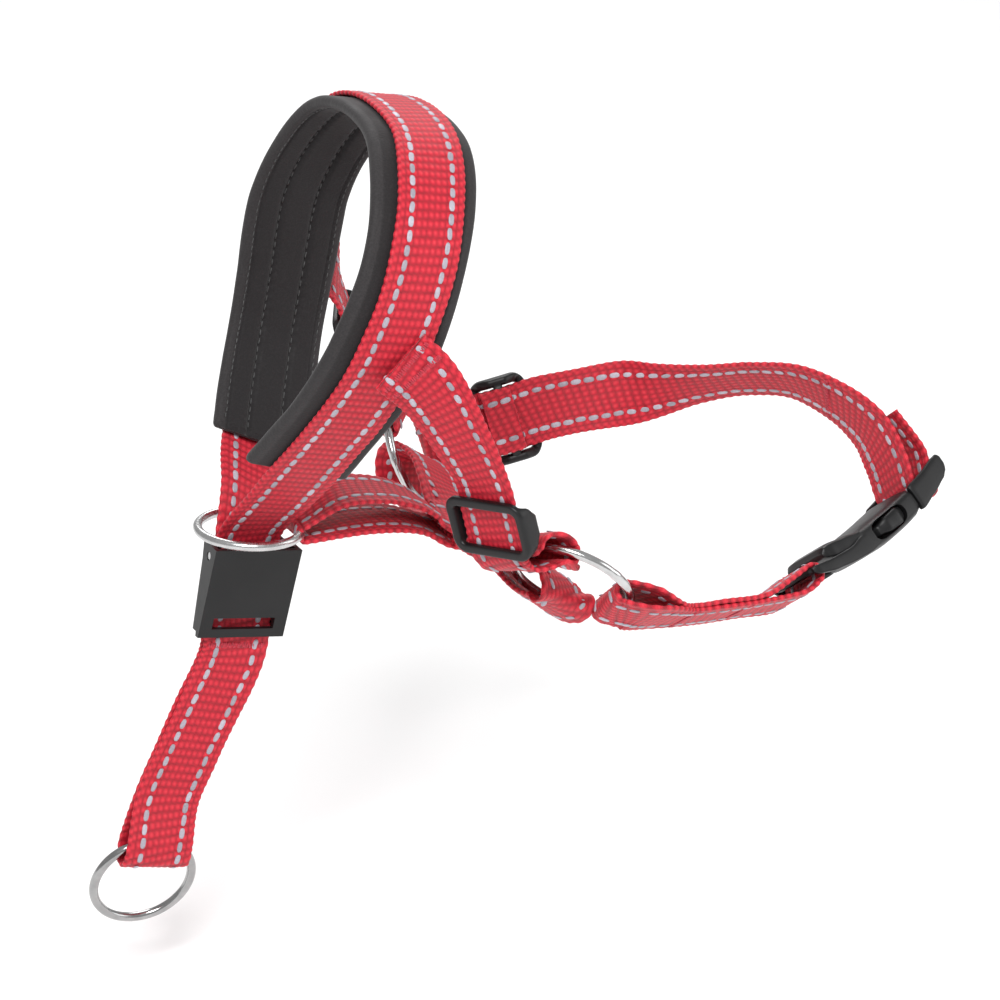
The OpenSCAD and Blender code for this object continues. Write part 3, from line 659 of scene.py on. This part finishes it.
def slider_loop_run(at, x, y, z):
    reach = 6
    inner, r, bar = -3.25, 1.6, 1.5
    pts = [(6.5, inner + r), (3, inner + r), (0, inner + r)]
    pts += [(-bar - r * math.sin(math.radians(a)) + 0.2, inner + r * math.cos(math.radians(a)))
            for a in range(30, 151, 30)]
    pts += [(0, inner - r), (3, inner - r), (reach, inner - r)]
    return Run(edged([at + y * p + z * q for p, q in pts], x), False)


SLIDERS = {"near": ("slider_near", NS_AT, -NS_EDGE, NS_DIR, NS_FACE, "cheek_slider_near", "slider_loop_near"),
           "far": ("slider_far", FS_AT, FS_EDGE, FS_DIR, FS_FACE, "cheek_slider_far", "slider_loop_far"),
           "neck": ("slider_neck", KS_AT, -KS_EDGE, -KS_DIR, KS_FACE, "neck_slider", "slider_loop_neck")}
for k, (key, (body, at, x, y, z, sl, lp)) in enumerate(SLIDERS.items()):
    webbing("loop_webbing_" + key, slider_loop_run(at, x, y, z), body, [lp], 20 + k)


# ---------- seams: rows of dense stitches ----------
def seam_rows(name, run, rows):
    rng = np.random.default_rng(len(name))
    marks = []
    for at, side in rows:
        marks += [(at, y, side) for y in np.arange(-8.4, 8.5, 0.62)]
    dash(name, run, marks, 0.9, 0.26, 0.26, M["thread"], "halter", rng, turn=0.12)


tack_s = nose.near(TAB_TOP + TAB_DIR * 34 + V(0, -LAYER, 0))
seam_rows("tab_tack", nose, [(tack_s, -1), (tack_s, 1)])
seam_rows("stem_tack", stem, [(3.0, 1), (stem.length - 3.0, 1), (17.5, 1)])
seam_rows("cheek_near_tack", cheek_near, [(2.2, 1), (6.5, 1), (2.2, -1),
                                          (6.5, -1)])
seam_rows("cheek_far_tack", cheek_far, [(2.2, 1), (6.5, 1), (2.2, -1)])
neck_tack = neck.near((158, -5, -58))
seam_rows("neck_tack", neck, [(neck_tack - 3, 1), (neck_tack - 3, -1)])
w_at = [short.near((88, -55, -93.2)), short.near((88, -55.3, -94.7))]
seam_rows("short_tack", short, [(w_at[0] - 9, 1), (w_at[0] + 9, 1), (w_at[1] - 9, 1), (w_at[1] + 9, 1),
                                (w_at[0] - 9, -1), (w_at[0] + 9, -1)])
# the seams above stand for the CAD's bar tacks
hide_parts("bar_tacks")


# ---------- neoprene pad ----------
def make_nose_pad():
    start = len(NOSE) - 7 + 1 - 0.25
    end = len(NOSE) + len(NOSE_NEAR) + 2 + 0.5
    run = Run(NOSE, True, step=0.8, start=start, end=end)
    total = run.s[-1]
    n_y = 62
    half, r = PAD_W / 2, PAD_T / 2
    y0 = np.linspace(-(half - r), half - r, n_y)
    arc = [math.radians(a) for a in np.linspace(0, 180, 12)[1:-1]]
    sec_y = np.concatenate([y0, [half - r + r * math.sin(a) for a in arc], y0[::-1],
                            [r - half - r * math.sin(a) for a in arc]])
    sec_z = np.concatenate([np.full(n_y, r), [r * math.cos(a) for a in arc], np.full(n_y, -r),
                            [-r * math.cos(a) for a in arc]])
    inset = WEB_T / 2 + GAP + 0.15 + PAD_T / 2
    lead = PAD_FORWARD * np.minimum(1, 0.7 * (run.u - start) - 1.2)
    s = run.s
    end_in = np.minimum(s, total - s)
    k = np.clip(end_in / 1.7, 0.02, 1)
    fat = np.sqrt(1 - (1 - k) ** 2)
    mid = run.p - run.across * lead[:, None] - run.face * inset
    S, Y = s[:, None], sec_y[None, :]
    inner = (sec_z[None, :] < 0)
    chan = np.exp(-((np.abs(Y) - 5.2) / 0.75) ** 2)
    rim = np.clip((np.abs(Y) - 12.3) / 0.35, 0, 1)
    lip = np.exp(-((np.abs(Y) - 12.1) / 0.4) ** 2)
    puff = 0.35 * np.cos(np.pi * np.clip(np.abs(np.abs(Y) - 8.9) / 3.7, 0, 1) / 2) * (np.abs(Y) > 5.2) \
        + 0.35 * np.cos(np.pi * np.clip(np.abs(Y) / 5.2, 0, 1) / 2) * (np.abs(Y) <= 5.2)
    pucker = 0.14 * np.cos(2 * np.pi * S / 2.9) * np.exp(-((np.abs(Y) - 5.2) / 1.6) ** 2)
    crease = 0.16 * np.sin(S / 7.3 + 0.25 * Y) * np.sin(S / 2.9 + 1.0) + 0.1 * np.sin(S / 19 + Y / 6)
    gain = np.where(inner, -1.05 * chan + 0.55 * puff - pucker + 0.5 * crease - 0.45 * lip + 0.12 * rim,
                    -0.12 * chan + 0.3 * crease)
    z = sec_z[None, :] * fat[:, None] + np.sign(sec_z)[None, :] * gain * fat[:, None]
    wob = 0.22 * np.sin(S / 9 + 0.7) * np.sign(Y) * (np.abs(Y) / half) ** 3
    yy = Y * (1 - 0.05 * (1 - fat[:, None])) + wob
    pts = mid[:, None, :] + run.across[:, None, :] * yy[..., None] + run.face[:, None, :] * z[..., None]
    n, m = z.shape
    i, j = np.arange(n - 1)[:, None], np.arange(m)[None, :]
    a, b = i * m + j, (i + 1) * m + j
    c, d = (i + 1) * m + (j + 1) % m, i * m + (j + 1) % m
    quads = np.stack([a, d, c, b], -1).reshape(-1, 4).tolist()
    ends = [list(range(m)), list(range((n - 1) * m, n * m))[::-1]]
    ones = np.ones_like(z)
    ob = mesh_object("nose_pad_foam", pts.reshape(-1, 3), quads + ends, M["pad"],
                     attrs={"pad_y": (Y * ones).ravel(), "pad_s": (S * ones).ravel(),
                            "pad_rim": (rim * ones).ravel()})
    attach(ob, "halter")
    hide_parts("nose_pad")
    # the stitches that sew each channel and the binding
    run.p = mid
    marks = [(at, y, -1) for y in (-5.2, 5.2) for at in np.arange(4, total - 4, 2.9)]
    rng = np.random.default_rng(5)
    dash("pad_channel_thread", run, marks, 1.0, 0.2, 0.25, M["pad_thread"], "halter", rng,
         thick=PAD_T - 2.0)
    rims = [(at, y, -1) for y in (-12.9, 12.9) for at in np.arange(4, total - 4, 2.4)]
    dash("pad_rim_thread", run, rims, 0.8, 0.18, 0.2, M["pad_thread"], "halter", rng,
         thick=PAD_T + 0.1)


def make_pad_thread():
    m, t, b = new_material("pad_thread", rough=0.6)
    f = noise(t, 1500.0, 2.0)
    t.links.new(ramp(t, f, [(0.3, grey(0.035)), (0.7, grey(0.075))]), b.inputs["Base Color"])
    return m


M["pad_thread"] = make_pad_thread()
make_nose_pad()


# ---------- rings ----------
torus("chin_ring_wire", CHIN_AT, CHIN_AXIS, SMALL_R, WIRE, V(0.9, 0.4, 0), M["satin"], "chin_ring",
      "chin_ring")
torus("lead_ring_wire", LEAD_AT, LEAD_AXIS, SMALL_R, WIRE, LEAD_HANG * -1 + LEAD_EDGE * 0.5, M["dark_nickel"],
      "lead_ring", "lead_ring")
torus("side_ring_near_wire", NEAR_AT, NEAR_AXIS, SIDE_R, WIRE, V(1, -0.2, 1), M["nickel"], "side_ring_near",
      "side_ring_near")
torus("side_ring_far_wire", FAR_AT, FAR_AXIS, SIDE_R, WIRE, V(-1, 0, -0.2), M["nickel"], "side_ring_far",
      "side_ring_far")


# ---------- moulded parts ----------
def softened(name, cad, body, width, material="plastic"):
    """A copy of a CAD node with rounded edges."""
    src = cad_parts[cad]
    me = src.data.copy()
    me.name = name
    me.transform(src.matrix_world)
    bm = bmesh.new()
    bm.from_mesh(me)
    bmesh.ops.remove_doubles(bm, verts=bm.verts, dist=2e-6)
    bmesh.ops.dissolve_limit(bm, angle_limit=math.radians(2), verts=bm.verts, edges=bm.edges,
                             use_dissolve_boundaries=False)
    bmesh.ops.recalc_face_normals(bm, faces=bm.faces)
    bm.to_mesh(me)
    bm.free()
    for a in list(me.attributes):
        if a.name.startswith("_") or a.name == "custom_normal":
            me.attributes.remove(a)
    me.materials.clear()
    me.materials.append(M[material])
    ob = bpy.data.objects.new(name, me)
    bpy.context.scene.collection.objects.link(ob)
    bev = ob.modifiers.new("round", "BEVEL")
    bev.width = width * MM
    bev.segments = 3
    bev.limit_method = "ANGLE"
    bev.angle_limit = math.radians(28)
    bev.use_clamp_overlap = True
    apply_modifiers(ob)
    finish_shading(ob)
    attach(ob, body)
    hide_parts(cad)
    return ob


def apply_modifiers(ob):
    bpy.context.view_layer.update()
    ev = ob.evaluated_get(bpy.context.evaluated_depsgraph_get())
    me = bpy.data.meshes.new_from_object(ev)
    old = ob.data
    ob.modifiers.clear()
    ob.data = me
    if old.users == 0:
        bpy.data.meshes.remove(old)


def finish_shading(ob, angle=35):
    ob.data.shade_smooth()
    ob.data.set_sharp_from_angle(angle=math.radians(angle))
    w = ob.modifiers.new("normals", "WEIGHTED_NORMAL")
    w.keep_sharp = True
    w.weight = 60
    apply_modifiers(ob)


softened("lock_frame", "lock_body", "lock", 0.35)
softened("lock_pin_rod", "lock_pin", "lock", 0.2, material="satin")
softened("lock_lever_plate", "lock_lever", "lock_lever", 0.45)


def slider_frame(name, cad, body, at, x, y, z):
    """A rounded frame with deep side rails, and the bar under the strap that its end is sewn to."""
    rail, bar, corner = 1.5, 1.4, 3.0
    top, under, foot = 3.0, 0.9, -4.0
    half_x, half_y = SLIDER_W / 2 - rail, SLIDER_L / 2 - bar
    path = []
    for k, (cx, cy) in enumerate(((1, 1), (-1, 1), (-1, -1), (1, -1))):
        for a in np.linspace(k * 90, k * 90 + 90, 10):
            c, s = math.cos(math.radians(a)), math.sin(math.radians(a))
            path.append((cx * (half_x - corner) + corner * c, cy * (half_y - corner) + corner * s, c, s))
    rows = []
    for k, p in enumerate(path):
        q = path[(k + 1) % len(path)]
        count = max(1, int(math.hypot(q[0] - p[0], q[1] - p[1]) / 0.8))
        rows += [[p[i] + (q[i] - p[i]) * j / count for i in range(4)] for j in range(count)]
    ring, pts = 32, []
    for px, py, nx, ny in rows:
        size = math.hypot(nx, ny)
        nx, ny = nx / size, ny / size
        beside = float(np.clip((abs(px) - 10.9) / 0.9, 0, 1))
        deep = float(np.clip(foot + (abs(py) - 3) * 0.82, foot, under))
        low = under + (deep - under) * beside * beside * (3 - 2 * beside)
        wide = bar + (rail - bar) * beside
        for j in range(ring):
            a = 2 * math.pi * j / ring
            ca, sa = math.cos(a), math.sin(a)
            out = math.copysign(abs(ca) ** 0.6, ca) * wide
            up = (top + low) / 2 + math.copysign(abs(sa) ** 0.6, sa) * (top - low) / 2
            pts.append(at + x * (px + nx * out) + y * (py + ny * out) + z * up)
    n = len(rows)
    faces = [[i * ring + j, ((i + 1) % n) * ring + j, ((i + 1) % n) * ring + (j + 1) % ring,
              i * ring + (j + 1) % ring] for i in range(n) for j in range(ring)]
    rod, rod_n = [], 24
    for px in np.linspace(-11.6, 11.6, 12):
        for j in range(rod_n):
            a = 2 * math.pi * j / rod_n
            ca, sa = math.cos(a), math.sin(a)
            rod.append(at + x * px + y * math.copysign(abs(ca) ** 0.6, ca) * 1.45
                       + z * (-3.25 + math.copysign(abs(sa) ** 0.6, sa) * 0.72))
    rod_faces = [[i * rod_n + j, (i + 1) * rod_n + j, (i + 1) * rod_n + (j + 1) % rod_n,
                  i * rod_n + (j + 1) % rod_n]
                 for i in range(11) for j in range(rod_n)]
    rod_faces += [list(range(rod_n)), list(range(11 * rod_n, 12 * rod_n))[::-1]]
    all_pts, all_faces = join_parts([(np.array(pts), faces), (np.array(rod), rod_faces)])
    ob = mesh_object(name, all_pts, all_faces, M["plastic"])
    bm = bmesh.new()
    bm.from_mesh(ob.data)
    bmesh.ops.recalc_face_normals(bm, faces=bm.faces)
    bm.to_mesh(ob.data)
    bm.free()
    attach(ob, body)
    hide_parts(cad)


for key, (body, at, x, y, z, sl, lp) in SLIDERS.items():
    slider_frame("slider_frame_" + key, sl, body, at, x, y, z)


# ---------- buckle ----------
def bend(x):
    """The buckle is slightly arched along its length."""
    return (x - 28) ** 2 / 280 - 1.5


def lofted(name, rows, power=3.2, ring=40):
    """rows of (x, y middle, z middle, half width, half height) in the buckle's own axes."""
    pts, n = [], len(rows)
    for x, ym, zm, hw, hh in rows:
        for q in range(ring):
            a = 2 * math.pi * q / ring
            ca, sa = math.cos(a), math.sin(a)
            dy = math.copysign(abs(ca) ** (2 / power), ca) * hw
            dz = math.copysign(abs(sa) ** (2 / power), sa) * hh
            pts.append(in_buckle(x, zm + dz + bend(x), ym + dy))
    faces = []
    for i in range(n - 1):
        for q in range(ring):
            k = (q + 1) % ring
            faces.append([i * ring + q, i * ring + k, (i + 1) * ring + k, (i + 1) * ring + q])
    faces.append(list(range(ring))[::-1])
    faces.append(list(range((n - 1) * ring, n * ring)))
    return mesh_object(name, np.array(pts), faces, M["plastic"])


def smooth_rows(knots, count):
    """Rows between given knots, along a smooth curve."""
    knots = np.array(knots, float)
    xs = knots[:, 0]
    out = []
    for x in np.linspace(xs[0], xs[-1], count):
        i = int(np.clip(np.searchsorted(xs, x) - 1, 0, len(xs) - 2))
        t = (x - xs[i]) / (xs[i + 1] - xs[i])
        t = t * t * (3 - 2 * t)
        out.append([x] + list(knots[i, 1:] * (1 - t) + knots[i + 1, 1:] * t))
    return out


def carve(ob, tool):
    m = ob.modifiers.new("cut", "BOOLEAN")
    m.operation = "DIFFERENCE"
    m.object = tool
    m.solver = "EXACT"
    apply_modifiers(ob)
    bpy.data.objects.remove(tool)


def round_off(ob, width):
    b = ob.modifiers.new("round", "BEVEL")
    b.width, b.segments = width * MM, 3
    b.limit_method, b.angle_limit = "ANGLE", math.radians(32)
    apply_modifiers(ob)
    finish_shading(ob, 40)


def as_piece(ob, body, *nodes):
    if nodes:
        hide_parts(*nodes)
    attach(ob, body)


# socket: shell round the prongs, wedge-shaped hood and strap bar with its side cheeks
shell = lofted("buckle_shell", smooth_rows([(20, 0, 0, 11.4, 3.2), (23, 0, 0, 12.2, 4.2),
                                            (30, 0, 0, 12.4, 4.6),
                                            (40, 0, 0, 12.3, 4.6), (44.5, 0, 0, 12.1, 4.5),
                                            (46.2, 0, 0, 11.7, 4.1)], 34), 4.5, 48)
carve(shell, lofted("cut_a", smooth_rows([(26.5, 0, 0, 10.3, 3.1), (50, 0, 0, 10.4, 3.1)], 8), 9))
for side in (-1, 1):
    carve(shell, lofted("cut_b", [(x, side * 12, 0.1, 3.0, h) for x, h in
                                  ((25.6, 0.5), (25.9, 1.5), (26.8, 2.5), (28.5, 3.05), (33, 3.15),
                                   (37.5, 3.05),
                                   (39.4, 2.5), (40.3, 1.5), (40.6, 0.5))], 2.6, 32))
round_off(shell, 0.3)
as_piece(shell, "halter", "buckle_socket")

hood = lofted("buckle_hood", smooth_rows([(7.6, 0, 2.6, 9.4, 0.9), (9.0, 0, 2.9, 10.1, 2.2),
                                          (12, 0, 2.6, 10.6, 2.9),
                                          (17, 0, 1.9, 11.0, 3.1), (22, 0, 0.9, 11.4, 3.3),
                                          (25, 0, 0.2, 11.6, 3.4)], 26), 6, 44)
round_off(hood, 0.3)
as_piece(hood, "halter")
bar = lofted("buckle_strap_bar", smooth_rows([(0.1, 0, 0, 9.0, 0.9), (1.2, 0, 0, 10.4, 1.15),
                                              (3.0, 0, 0, 10.6, 1.0),
                                              (3.2, 0, 0, 10.6, 0.7)], 10), 5, 40)
round_off(bar, 0.2)
as_piece(bar, "halter")
for side in (-1, 1):
    cheek = lofted("buckle_cheek_" + ("near" if side < 0 else "far"), smooth_rows(
        [(0.6, side * 10.6, -0.2, 0.5, 0.7), (2, side * 11.0, -0.6, 0.85, 1.5),
         (8, side * 11.2, -1.2, 0.95, 1.9),
         (16, side * 11.3, -1.4, 1.0, 2.2), (22, side * 11.3, -0.9, 1.0, 2.9),
         (26, side * 11.2, -0.2, 0.9, 3.2)],
        22), 4, 24)
    as_piece(cheek, "halter")
    finish_shading(cheek, 40)

# plug: two arched side rails joined by its bars, with the guide tongue
for side in (-1, 1):
    rail = lofted("buckle_rail_" + ("near" if side < 0 else "far"), smooth_rows(
        [(46.7, side * 11.2, 0, 0.9, 3.9), (47.6, side * 11.4, 0, 1.0, 4.2),
         (54, side * 11.4, 0.3, 1.05, 3.8),
         (60, side * 11.2, 0.7, 1.0, 3.5), (62.6, side * 11.0, 1.0, 0.9, 2.9),
         (63.6, side * 10.8, 1.1, 0.6, 1.6)],
        30), 3.4, 36)
    as_piece(rail, "halter", *(["buckle_plug"] if side < 0 else []))
    finish_shading(rail, 40)
for name, x, w in (("front", 48.6, 1.7), ("middle", 55.4, 1.0), ("back", 61.6, 1.3)):
    pb = lofted("buckle_bar_" + name, [(x - w, 0, 0, 10.6, 0.5), (x - w * 0.8, 0, 0, 11.0, 0.95),
                                       (x, 0, 0, 11.0, 1.15), (x + w * 0.8, 0, 0, 11.0, 0.95),
                                       (x + w, 0, 0, 10.6, 0.5)], 7, 40)
    as_piece(pb, "halter")
    finish_shading(pb, 40)
tongue = lofted("buckle_tongue", smooth_rows([(26.2, 0, 0, 1.0, 0.9), (28, 0, 0, 1.6, 1.5),
                                              (47, 0, 0, 1.6, 1.5)], 12),
                4, 24)
as_piece(tongue, "halter")
finish_shading(tongue, 40)

for side, key in ((-1, "near"), (1, "far")):
    rows = smooth_rows([(27.6, side * 8.4, 0, 0.8, 1.2), (29, side * 9.6, 0, 1.7, 1.7),
                        (33, side * 10.8, 0, 1.6, 2.5),
                        (37.2, side * 11.3, 0, 1.4, 2.6), (39.0, side * 10.6, 0, 1.2, 2.1),
                        (41, side * 9.2, 0, 1.0, 1.5), (46.6, side * 8.5, 0, 1.0, 1.4),
                        (49.2, side * 8.5, 0, 1.2, 1.3)], 44)
    prong = lofted("buckle_prong_arm_" + key, rows, 3.2, 32)
    as_piece(prong, "prong_" + key, "buckle_prong_" + key)
    finish_shading(prong, 40)


# ---------- floor, light and camera ----------
floor_me = bpy.data.meshes.new("floor")
floor_me.from_pydata([(-6, -6, 0), (6, -6, 0), (6, 6, 0), (-6, 6, 0)], [], [(0, 1, 2, 3)])
floor = bpy.data.objects.new("floor", floor_me)
floor.location = (0, 0, CAD_BOX[0][2] - 0.02)
bpy.context.scene.collection.objects.link(floor)
floor_mat, _, fb = new_material("pale_floor", rough=0.9)
fb.inputs["Base Color"].default_value = (0.93, 0.93, 0.93, 1)
floor_me.materials.append(floor_mat)

sc = bpy.context.scene
world = bpy.data.worlds.new("studio")
sc.world = world
world.use_nodes = True
world.node_tree.nodes["Background"].inputs["Color"].default_value = (1, 1, 1, 1)
world.node_tree.nodes["Background"].inputs["Strength"].default_value = 0.5
sc.view_settings.view_transform = "Standard"


def softbox(name, place, size, power):
    d = bpy.data.lights.new(name, "AREA")
    d.shape = "RECTANGLE"
    d.size, d.size_y = size
    d.energy = power
    o = bpy.data.objects.new(name, d)
    o.location = place
    o.rotation_euler = (TARGET - Vector(place)).to_track_quat("-Z", "Y").to_euler()
    sc.collection.objects.link(o)


TARGET = Vector((0.030, -0.036, -0.056))
softbox("key", (-0.5, -0.9, 1.1), (0.6, 0.6), 21)
softbox("fill", (1.2, -0.7, 0.4), (0.9, 0.9), 5)
softbox("back", (0.4, 1.0, 0.9), (0.8, 0.6), 9)

AZ, EL, DIST = math.radians(-26), math.radians(22), 1.1
back = Vector((math.sin(AZ) * math.cos(EL), -math.cos(AZ) * math.cos(EL), math.sin(EL)))
cam = bpy.data.objects.new("camera", bpy.data.cameras.new("camera"))
cam.location = TARGET + back * DIST
cam.rotation_euler = (-back).to_track_quat("-Z", "Y").to_euler()
cam.data.lens = 140.6
cam.data.sensor_width = 36
cam.data.clip_start = 0.01
sc.collection.objects.link(cam)
sc.camera = cam
